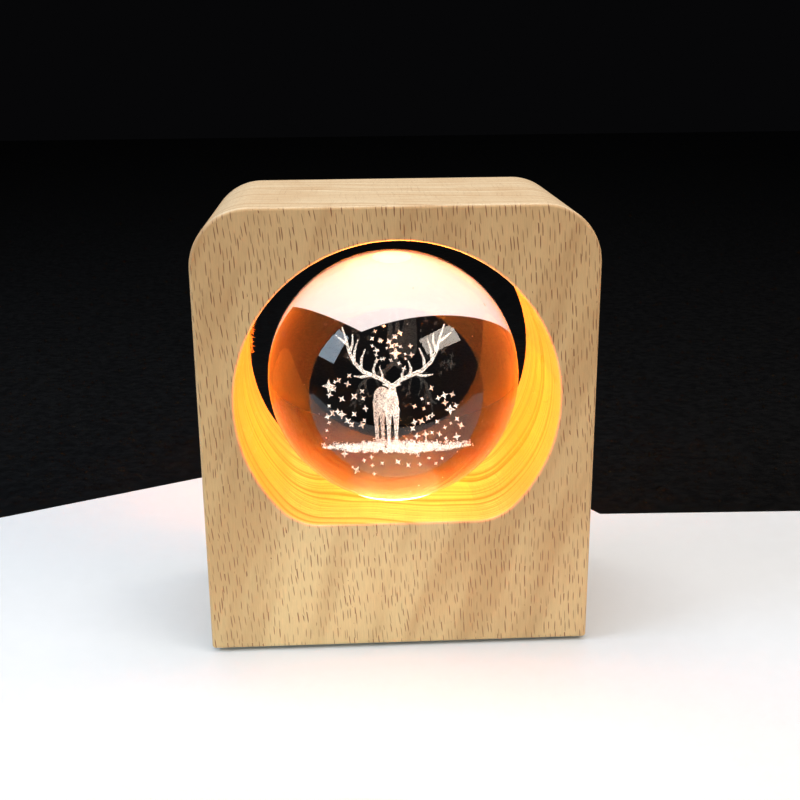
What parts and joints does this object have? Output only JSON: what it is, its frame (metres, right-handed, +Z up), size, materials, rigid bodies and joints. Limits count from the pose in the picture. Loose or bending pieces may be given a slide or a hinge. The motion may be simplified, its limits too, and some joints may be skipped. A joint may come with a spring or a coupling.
{
  "type": "crystal ball lamp",
  "caption": "Crystal ball lamp: a glass ball seated in the round window of a beech block and lit from below, with a battery, charging inlet and push switch in its base.",
  "frame": {"origin": "on the table, below the middle of the block", "axes": "+Z up, the ball looks out towards -Y, the inlet and the switch are on the +Y side"},
  "size_m": [0.088, 0.06, 0.1034],
  "materials": {
    "beech": "light beech with short brown flecks, sanded and lightly oiled",
    "crystal_glass": "polished clear glass",
    "clear_silicone": "clear soft silicone",
    "frosted_acrylic": "frosted, lit from behind, warm white",
    "white_board": "white solder resist on an aluminium board",
    "led_phosphor": "yellow phosphor in a white body",
    "screw_steel": "bright zinc",
    "black_plastic": "fine moulded grain",
    "foot_foam": "dense black foam",
    "cell_foil": "laminated foil pouch",
    "cell_pad": "double-sided foam",
    "board_lacquer": "green solder resist",
    "chip_resin": "moulded resin",
    "coil_ferrite": "ferrite",
    "inlet_steel": "tinned steel",
    "inlet_moulding": "moulded",
    "switch_plastic": "moulded black",
    "switch_resin": "pressed resin board",
    "nickel": "nickel plate",
    "spring_steel": "spring wire",
    "lug_brass": "tinned brass",
    "red_insulation": "insulation",
    "black_insulation": "insulation"
  },
  "bodies": {
    "block": {"wood_block": "beech", "light_diffuser": "frosted_acrylic", "light_board": "white_board", "led_chip_1": "led_phosphor", "led_chip_2": "led_phosphor", "led_chip_3": "led_phosphor", "led_chip_4": "led_phosphor", "light_board_screw_1": "screw_steel", "light_board_screw_2": "screw_steel", "base_screw_1": "screw_steel", "base_screw_2": "screw_steel", "base_screw_3": "screw_steel", "base_screw_4": "screw_steel", "board_screw_1": "screw_steel", "board_screw_2": "screw_steel", "base_plate": "black_plastic", "foot_pad_1": "foot_foam", "foot_pad_2": "foot_foam", "foot_pad_3": "foot_foam", "foot_pad_4": "foot_foam", "battery_cell": "cell_foil", "battery_pad": "cell_pad", "charging_board": "board_lacquer", "charging_chip": "chip_resin", "power_coil": "coil_ferrite", "inlet_shell": "inlet_steel", "inlet_tongue": "inlet_moulding", "switch_case": "switch_plastic", "switch_base": "switch_resin", "switch_nut": "nickel", "switch_washer": "nickel", "switch_spring": "spring_steel", "switch_lug_1": "lug_brass", "switch_lug_2": "lug_brass", "battery_lead_red": "red_insulation", "light_lead_red": "red_insulation", "switch_lead_red": "red_insulation", "battery_lead_black": "black_insulation", "light_lead_black": "black_insulation", "switch_lead_black": "black_insulation"},
    "seat": {"ball_seat_ring": "clear_silicone"},
    "ball": {"crystal_ball": "crystal_glass"},
    "button": {"switch_button": "switch_plastic"}
  },
  "joints": [
    {"name": "ball_turn", "type": "hinge", "parent": "block", "child": "seat", "pos_m": [0, 0, 0.0595], "axis": [0, 0, 1], "continuous": true},
    {"name": "ball_lift", "type": "slide", "parent": "seat", "child": "ball", "axis": [0, 0, 1], "range_m": [0, 0.0055]},
    {"name": "button_press", "type": "slide", "parent": "block", "child": "button", "axis": [0, -1, 0], "range_m": [0, 0.002], "stiffness_N_per_m": 700, "springref_m": -0.0015, "deforming": ["switch_spring"]}
  ]
}
